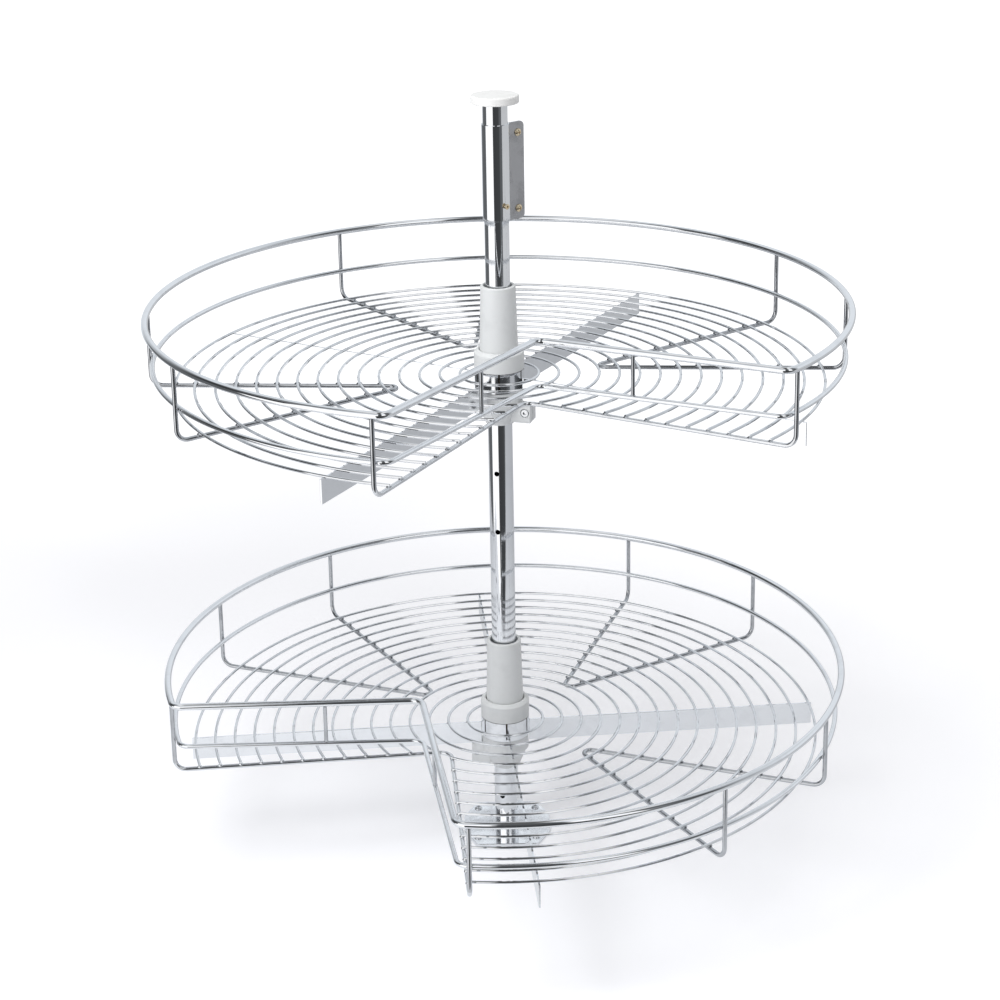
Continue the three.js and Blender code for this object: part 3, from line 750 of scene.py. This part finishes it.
# Floor wires. Three whole rings and twelve part rings of three-millimetre wire, chrome plated.
# The part rings are welded at both ends to a thicker wire that follows the cut-out and rises to
# the rim.
FLOOR_DROP = 0.073
FLOOR_WIRE = 0.0015
FLOOR_FIRST = 0.040
FLOOR_PITCH = 0.0205
WHOLE_RINGS = 3
PART_RINGS = 12
PART_RING_OVER = 0.0008
EDGE_WIRE = 0.00225
EDGE_SINK = 0.0006
EDGE_DROP = FLOOR_DROP + FLOOR_WIRE + EDGE_WIRE - EDGE_SINK
EDGE_TIP = 0.088
EDGE_ANGLE = math.radians(34.3)
EDGE_BEND = 0.012
RIM_WIRE = 0.0035
WELD_SINK = 0.0004
UPRIGHT_RING = 0.35145
UPRIGHT_TOP = -RIM_WIRE + WELD_SINK
UPRIGHT_FOOT = -0.068
WIRE_HOLD = 0.003
BEAD_SIDES = 8
BEAD_ROWS = 4
BEAD_RISE = 0.0002
PART_BEAD = (0.0028, 0.0017)
WHOLE_BEAD = (0.0022, 0.0009)

chrome_wire = plated("chrome_wire", color=(0.77, 0.78, 0.80), haze_color=(0.66, 0.67, 0.69),
                     roughness=0.04, haze_roughness=0.13, haze_size=70.0,
                     ripple_size=(260, 260, 260), ripple_depth=0.000008)
# A darkened copy of the wire's chrome for the hairpins, the posts and the floor wires' uprights: painted
# shade.
shaded_chrome_wire = plated("shaded_chrome_wire", color=(0.56, 0.57, 0.59), haze_color=(0.44, 0.45, 0.47),
                    roughness=0.04, haze_roughness=0.13, haze_size=70.0,
                    ripple_size=(260, 260, 260), ripple_depth=0.000008)


def polar(radius, angle, z=0.0):
    """A point at a distance and a bearing from the basket's axis."""
    return Vector((radius * math.cos(angle), radius * math.sin(angle), z))


def swept(points, radius, sides, closed=False):
    """A round wire along a run of points, as vertices and faces."""
    path = np.array([tuple(p) for p in held(points, WIRE_HOLD, closed)])
    ahead = np.roll(path, -1, 0) - path
    ahead /= np.linalg.norm(ahead, axis=1)[:, None]
    behind = np.roll(ahead, 1, 0)
    if not closed:
        ahead[-1] = behind[-1]
        behind[0] = ahead[0]
    along = ahead + behind
    along /= np.linalg.norm(along, axis=1)[:, None]
    side = np.cross(along[0], (0, 0, 1) if abs(along[0][2]) < 0.9 else (0, 1, 0))
    sections = []
    for middle, way in zip(path, along):
        side = side - way * side.dot(way)
        side /= np.linalg.norm(side)
        up = np.cross(side, way)
        angles = np.arange(sides) * 2 * math.pi / sides
        sections.append(middle + radius * (np.outer(np.cos(angles), side) + np.outer(np.sin(angles), up)))
    rows, faces = len(sections), []
    for i in range(rows if closed else rows - 1):
        a, b = i * sides, (i + 1) % rows * sides
        for k in range(sides):
            n = (k + 1) % sides
            faces.append((a + k, a + n, b + n, b + k))
    if not closed:
        faces.append(tuple(range(sides - 1, -1, -1)))
        faces.append(tuple(range((rows - 1) * sides, rows * sides)))
    return np.concatenate(sections), faces


def bead(at, width, height):
    """A weld bead: a small flattened ball, as vertices and faces."""
    points = [(0, 0, -height)]
    for j in range(1, BEAD_ROWS):
        lean = math.pi * j / BEAD_ROWS
        reach = width * math.sin(lean)
        for k in range(BEAD_SIDES):
            around = 2 * math.pi * k / BEAD_SIDES
            points.append((reach * math.cos(around), reach * math.sin(around), -height * math.cos(lean)))
    points.append((0, 0, height))
    last = len(points) - 1
    turns = [(k, (k + 1) % BEAD_SIDES) for k in range(BEAD_SIDES)]
    faces = [(0, 1 + n, 1 + k) for k, n in turns]
    for j in range(BEAD_ROWS - 2):
        a = 1 + j * BEAD_SIDES
        b = a + BEAD_SIDES
        faces += [(a + k, a + n, b + n, b + k) for k, n in turns]
    a = last - BEAD_SIDES
    faces += [(a + k, a + n, last) for k, n in turns]
    return np.array(points) + np.array(tuple(at)), faces


def gathered(shapes):
    """One mesh from several runs of vertices and faces."""
    vertices, faces, count = [], [], 0
    for points, sides in shapes:
        vertices.append(points)
        faces += [tuple(v + count for v in side) for side in sides]
        count += len(points)
    mesh = bpy.data.meshes.new("gathered")
    mesh.from_pydata(np.concatenate(vertices).tolist(), [], faces)
    mesh.validate()
    work = bmesh.new()
    work.from_mesh(mesh)
    bpy.data.meshes.remove(mesh)
    return work


def arc(radius, start, end, z, steps):
    """Points along an arc about the basket's axis, at one height."""
    return [polar(radius, start + (end - start) * k / steps, z) for k in range(steps + 1)]


def meeting(radius):
    """Where a part ring of this radius meets the wire round the cut-out, as a point."""
    outer = polar(UPRIGHT_RING, EDGE_ANGLE)
    lean = math.atan2(outer.y, outer.x - EDGE_TIP)
    along = math.sqrt(radius**2 - (EDGE_TIP * math.sin(lean)) ** 2) - EDGE_TIP * math.cos(lean)
    return Vector((EDGE_TIP + along * math.cos(lean), along * math.sin(lean), 0))


def folded_wire(start, end, tip, tip_bend, drop):
    """A wire that comes down from the rim at one bearing, goes in to a tip, and rises at another."""
    corners = [(polar(UPRIGHT_RING, start, UPRIGHT_TOP), 0), (polar(UPRIGHT_RING, start, -drop), EDGE_BEND),
               (tip + Vector((0, 0, -drop)), tip_bend),
               (polar(UPRIGHT_RING, end, -drop), EDGE_BEND), (polar(UPRIGHT_RING, end, UPRIGHT_TOP), 0)]
    return swept(rounded(corners, steps=10), EDGE_WIRE, sides=16)


def floor_wires():
    """The part rings and the wire that they end on."""
    shapes = [folded_wire(EDGE_ANGLE, -EDGE_ANGLE, polar(EDGE_TIP, 0), EDGE_BEND, EDGE_DROP)]
    for i in range(WHOLE_RINGS, WHOLE_RINGS + PART_RINGS):
        radius = FLOOR_FIRST + i * FLOOR_PITCH
        meets = meeting(radius)
        end = math.atan2(meets.y, meets.x) - PART_RING_OVER / radius
        steps = int(60 + radius * 240)
        shapes.append(swept(arc(radius, end, 2 * math.pi - end, -FLOOR_DROP, steps), FLOOR_WIRE, sides=10))
        for side in (1, -1):
            at = Vector((meets.x, side * meets.y, -FLOOR_DROP - FLOOR_WIRE + BEAD_RISE))
            shapes.append(bead(at, *PART_BEAD))
    return gathered(shapes)


def whole_ring(radius):
    """A floor wire that goes all round, with a weld bead over each arm."""
    around = arc(radius, 0, 2 * math.pi, -FLOOR_DROP, steps=72)[:-1]
    welds = [bead(polar(radius, math.radians(angle), -FLOOR_DROP - FLOOR_WIRE), *WHOLE_BEAD)
             for angle in ARM_ANGLES]
    return gathered([swept(around, FLOOR_WIRE, sides=12, closed=True), *welds])


def in_upright(at):
    """Whether a point, in the basket's frame, lies above the floor wires."""
    return at.z > UPRIGHT_FOOT


for tier in tiers:
    place, body = places[tier], f"{tier}_basket"
    made = piece(f"{tier}_floor_wires", floor_wires(), chrome_wire, body, f"{tier}_floor_grille",
                 place)
    # The floor wires' uprights take the darkened chrome: painted shade.
    darkened_where(made, shaded_chrome_wire, place, in_upright)
    for i in range(WHOLE_RINGS):
        piece(f"{tier}_whole_ring_{i + 1}", whole_ring(FLOOR_FIRST + i * FLOOR_PITCH), chrome_wire, body,
              f"{tier}_inner_ring_{i + 1}", place)


# Hairpins. Three wires under each floor, bent into a narrow V with its ends turned up to the
# rim, welded under every floor wire that they cross.
HAIRPIN_MIDDLES = (90, 180, 270)
HAIRPIN_HALF_ANGLE = math.radians(14.6)
HAIRPIN_TIP = 0.094
HAIRPIN_BEND = 0.007
HAIRPIN_GAP = 0.0001
HAIRPIN_DROP = FLOOR_DROP + FLOOR_WIRE + EDGE_WIRE + HAIRPIN_GAP
HAIRPIN_BEAD = (0.0033, 0.0017)
RAIL_DROP = 0.045
RAIL_BEAD = (0.0012, 0.0024)
RAIL_BEAD_RING = 0.34905


def crossings(tip, outer, first):
    """Points where a straight wire from tip to outer crosses the floor wires, from a given ring on."""
    way = (outer - tip).normalized()
    found = []
    for i in range(first, WHOLE_RINGS + PART_RINGS):
        radius = FLOOR_FIRST + i * FLOOR_PITCH
        reach = -tip.dot(way) + math.sqrt(tip.dot(way) ** 2 + radius**2 - tip.length_squared)
        found.append(tip + way * reach)
    return found


def hairpin(middle):
    """One hairpin about a bearing, with its weld beads."""
    tip = polar(HAIRPIN_TIP, middle)
    left, right = middle - HAIRPIN_HALF_ANGLE, middle + HAIRPIN_HALF_ANGLE
    shapes = [folded_wire(left, right, tip, HAIRPIN_BEND, HAIRPIN_DROP)]
    for angle in (left, right):
        for at in crossings(tip, polar(UPRIGHT_RING, angle), WHOLE_RINGS + 1):
            shapes.append(bead(at + Vector((0, 0, -FLOOR_DROP - FLOOR_WIRE)), *HAIRPIN_BEAD))
        shapes.append(bead(polar(RAIL_BEAD_RING, angle, -RAIL_DROP), *RAIL_BEAD))
    return gathered(shapes)


# The hairpins take the darkened chrome: painted shade.
for tier in tiers:
    for i, middle in enumerate(HAIRPIN_MIDDLES, 1):
        piece(f"{tier}_hairpin_wire_{i}", hairpin(math.radians(middle)), shaded_chrome_wire, f"{tier}_basket",
              f"{tier}_hairpin_{i}", places[tier])


# Rims and rails. Each is one chrome wire bent round the basket and into its cut-out, its ends
# butt-welded: seven millimetres thick for the rim, five for the rail below it.
RIM_RADIUS = 0.3515
RAIL_RADIUS = 0.3464
RAIL_WIRE = 0.0025
CUT_ANGLE = math.radians(32.4)
CUT_TIP = 0.131
CUT_BEND = 0.012
ROUND_STEPS = 220
BEND_STEPS = 3

chrome_rim = plated("chrome_rim", color=(0.86, 0.87, 0.89), haze_color=(0.78, 0.79, 0.81),
                    roughness=0.04, haze_roughness=0.11, haze_size=40.0,
                    ripple_size=(120, 120, 120), ripple_depth=0.00001)


def basket_loop(radius, drop, wire, sides):
    """A wire round the basket and into its cut-out; the bends take the place of the arc's ends."""
    run = arc(radius, CUT_ANGLE, 2 * math.pi - CUT_ANGLE, -drop, ROUND_STEPS)
    between = [(point, 0) for point in run[BEND_STEPS:-BEND_STEPS]]
    corners = [(run[0], CUT_BEND), *between, (run[-1], CUT_BEND), ((CUT_TIP, 0, -drop), CUT_BEND)]
    return gathered([swept(rounded(corners, steps=12), wire, sides, closed=True)])


for tier in tiers:
    place, body = places[tier], f"{tier}_basket"
    rim = basket_loop(RIM_RADIUS, 0, RIM_WIRE, sides=24)
    piece(f"{tier}_rim", rim, chrome_rim, body, f"{tier}_top_rim", place)
    rail = basket_loop(RAIL_RADIUS, RAIL_DROP, RAIL_WIRE, sides=20)
    piece(f"{tier}_rail", rail, chrome_rim, body, f"{tier}_middle_rail", place)


# Posts. Two short wires in the sides of each cut-out, welded between the rim and the rail.
# Like the hairpins, they take a darkened copy of the wire's chrome: painted shade.
POST_ALONG = 0.098
POST_WIRE = 0.002
POST_TOP = -RIM_WIRE + WELD_SINK
POST_FOOT = -RAIL_DROP + RAIL_WIRE - WELD_SINK
POST_HOLD = 0.001
POST_BEAD = (0.0025, 0.0009)


def post(side):
    """The post in one side of the cut-out, with a weld bead at each end."""
    tip = Vector((CUT_TIP, 0, 0))
    at = tip + (polar(RIM_RADIUS, side * CUT_ANGLE) - tip).normalized() * POST_ALONG
    levels = (POST_TOP, POST_TOP - POST_HOLD, POST_FOOT + POST_HOLD, POST_FOOT)
    welds = [bead(at + Vector((0, 0, z)), *POST_BEAD) for z in (POST_FOOT + WELD_SINK, POST_TOP - WELD_SINK)]
    return gathered([swept([at + Vector((0, 0, z)) for z in levels], POST_WIRE, sides=16), *welds])


for tier in tiers:
    for i, side in enumerate((1, -1), 1):
        piece(f"{tier}_post_{i}", post(side), shaded_chrome_wire, f"{tier}_basket", f"{tier}_cut_post_{i}",
              places[tier])


# Studio. A wide white floor that keeps soft shadows, with a glow that paints soft shade round the stand,
# soft lamps, and a pale room.
# What the chrome shows is a sheet of white paper under the stand, darkened away from it by painted shade,
# and a room with a few dark and white screens.
FLOOR_REACH = 30.0
FLOOR_GAP = 0.0002
FLOOR_COLOR = (0.885, 0.89, 0.925, 1)
WHITE = (1, 1, 1, 1)
SHADE_CENTRE = (-0.4, 0, 0)
PAPER_FRONT = -0.53
PAPER_LEFT = -0.85
PAPER_SOFT = 0.06
PAPER_TURN = 0.12
PAPER_SLANT = 0.48
PAPER_NEAR = (0.86, 0.88, 0.91, 1)
PAPER_FAR = (0.64, 0.66, 0.69, 1)
PAPER_BEYOND = (0.96, 0.98, 1.0, 1)
PLAIN_LIGHT = 0.58
COOL_TINT = 0.05

floor_mesh = bpy.data.meshes.new("studio_floor")
floor_corners = [(x * FLOOR_REACH, y * FLOOR_REACH, 0) for x, y in ((-1, -1), (1, -1), (1, 1), (-1, 1))]
floor_mesh.from_pydata(floor_corners, [], [(0, 1, 2, 3)])
floor = bpy.data.objects.new("studio_floor", floor_mesh)
floor.location.z = -FLOOR_GAP
bpy.context.scene.collection.objects.link(floor)


def cleared(owner):
    """The emptied node tree of a new material or world."""
    owner.use_nodes = True
    owner.node_tree.nodes.clear()
    return owner.node_tree


def chosen_shader(tree, share, first, second):
    """The first shader where the share is 0 and the second where it is 1."""
    return linked(tree, "MixShader", _0=share, _1=first, _2=second).outputs[0]


studio_paper = bpy.data.materials.new("studio_paper")
tree = cleared(studio_paper)
rays = linked(tree, "LightPath").outputs
where = linked(tree, "TexCoord").outputs["Object"]
spot = linked(tree, "SeparateXYZ", Vector=where).outputs

# The floor as the camera sees it: matte, with a glow that grows away from the stand and so paints a soft
# shade round it, and noise that paints uneven patches of light and shade.
aside = linked(tree, "VectorMath", {"operation": "DISTANCE"}, _0=where, _1=SHADE_CENTRE).outputs["Value"]
shaded_glow = eased(tree, aside, start=0.5, end=1.8, low=0.18, high=0.64)
glow_patches = linked(tree, "TexNoise", Vector=where, Scale=1.1, Detail=2.0)
uneven_glow = eased(tree, glow_patches.outputs["Fac"], start=0.4, end=0.62, low=-0.035, high=0.03)
glow = linked(tree, "Emission", Color=WHITE, Strength=worked(tree, "ADD", shaded_glow, uneven_glow)).outputs[0]
matte = linked(tree, "BsdfDiffuse", Color=FLOOR_COLOR).outputs[0]
lit = linked(tree, "AddShader", _0=matte, _1=glow).outputs[0]

# The paper as the chrome shows it: its front edge is slanted on the right, and beyond it is clear. Its
# colour darkens away from the stand, a painted shade, and turns pale again far off.
right = worked(tree, "MAXIMUM", worked(tree, "SUBTRACT", spot["X"], PAPER_TURN), 0.0)
depth = worked(tree, "MULTIPLY_ADD", right, PAPER_SLANT, spot["Y"])
behind = eased(tree, depth, PAPER_FRONT - PAPER_SOFT, PAPER_FRONT + PAPER_SOFT)
beside = eased(tree, spot["X"], PAPER_LEFT - PAPER_SOFT, PAPER_LEFT + PAPER_SOFT)
near = linked(tree, "VectorMath", {"operation": "LENGTH"}, _0=where).outputs["Value"]
# Painted shade: the paper darkens away from the stand, then paints lighter again far off.
tone = blended(tree, eased(tree, near, start=0.3, end=0.9), PAPER_NEAR, PAPER_FAR)
tone = blended(tree, eased(tree, near, start=1.7, end=2.4), tone, PAPER_BEYOND)
paper = linked(tree, "BsdfDiffuse", Color=tone).outputs[0]
clear = linked(tree, "BsdfTransparent").outputs[0]
mirrored = chosen_shader(tree, worked(tree, "MULTIPLY", behind, beside), clear, paper)

seen = chosen_shader(tree, rays["Is Camera Ray"], matte, lit)
shown = chosen_shader(tree, rays["Is Glossy Ray"], seen, mirrored)
linked(tree, "OutputMaterial", Surface=shown)
floor_mesh.materials.append(studio_paper)

studio_room = bpy.data.worlds.new("studio_room")
bpy.context.scene.world = studio_room
tree = cleared(studio_room)
rays = linked(tree, "LightPath").outputs
axes = linked(tree, "SeparateXYZ", Vector=linked(tree, "TexCoord").outputs["Generated"]).outputs
bearing = worked(tree, "ARCTAN2", axes["X"], worked(tree, "MULTIPLY", axes["Y"], -1.0))
turn = linked(tree, "MapRange", Value=bearing, From_Min=-math.pi, From_Max=math.pi).outputs["Result"]


def surround(screens):
    """A ring of the room: its brightness at bearings in degrees, from the front towards +X."""
    ring = linked(tree, "ValToRGB", Fac=turn)
    stops = ring.color_ramp.elements
    while len(stops) < len(screens):
        stops.new(0.5)
    for stop, (angle, level) in zip(stops, screens):
        cool = COOL_TINT if level < 1 else 0
        stop.position = (angle + 180) / 360
        stop.color = (level * (1 - cool), level, level * (1 + cool), 1)
    return ring.outputs["Color"]


def risen(start, end):
    """How far the ray has risen from one height of the room to another."""
    return eased(tree, axes["Z"], start, end)


low_ring = surround([(-180, 0.8), (-150, 0.8), (-138, 0.15), (-86, 0.12), (-83, 1.25), (-22, 1.25),
                     (-19, 0.05), (30, 0.06), (38, 0.12), (58, 0.13), (68, 0.15), (75, 0.48), (90, 0.6),
                     (180, 0.66)])
middle_ring = surround([(-180, 0.85), (-160, 0.8), (-140, 0.5), (-122, 0.2), (-108, 0.05), (-69, 0.05),
                        (-66, 1.25), (-6, 1.25), (-3, 0.08), (18, 0.08), (21, 1.25), (42, 1.2), (45, 0.28),
                        (56, 0.12), (68, 0.08), (76, 0.35), (86, 0.5), (100, 0.85), (180, 0.85)])
high_ring = surround([(-180, 0.75), (-130, 0.85), (-112, 0.2), (-78, 0.2), (-60, 0.6), (-6, 0.65),
                      (-3, 0.12), (18, 0.12), (22, 0.9), (44, 0.9), (48, 0.12), (72, 0.15), (98, 0.7),
                      (180, 0.75)])
ceiling = eased(tree, worked(tree, "ABSOLUTE", axes["X"]), start=0.08, end=0.17, low=0.12, high=0.88)
lower_room = blended(tree, risen(start=0.0, end=0.12), low_ring, middle_ring)
upper_room = blended(tree, risen(start=0.88, end=0.94), high_ring, ceiling)
room = blended(tree, risen(start=0.5, end=0.62), lower_room, upper_room)
in_chrome = linked(tree, "Background", Color=room, Strength=1.0).outputs[0]
plain = linked(tree, "Background", Color=WHITE, Strength=PLAIN_LIGHT).outputs[0]
backdrop = linked(tree, "Background", Color=WHITE, Strength=1.0).outputs[0]
around = chosen_shader(tree, rays["Is Glossy Ray"], plain, in_chrome)
linked(tree, "OutputWorld", Surface=chosen_shader(tree, rays["Is Camera Ray"], around, backdrop))


def softbox(name, at, target, size, power):
    """A square area lamp aimed at a point."""
    lamp = bpy.data.lights.new(name, "AREA")
    lamp.shape = "SQUARE"
    lamp.size = size
    lamp.energy = power
    made = bpy.data.objects.new(name, lamp)
    aim = (Vector(target) - Vector(at)).to_track_quat("-Z", "Y").to_matrix().to_4x4()
    made.matrix_world = Matrix.Translation(at) @ aim
    made.visible_glossy = False
    bpy.context.scene.collection.objects.link(made)


softbox("softbox_left", at=(-0.72, -0.65, 1.3), target=(0, 0, 0.55), size=0.6, power=11)
softbox("softbox_top", at=(0.6, -0.4, 2.6), target=(0, 0, 0.3), size=1.2, power=9)

bpy.context.scene.view_settings.view_transform = "Standard"
low, high = cad_box
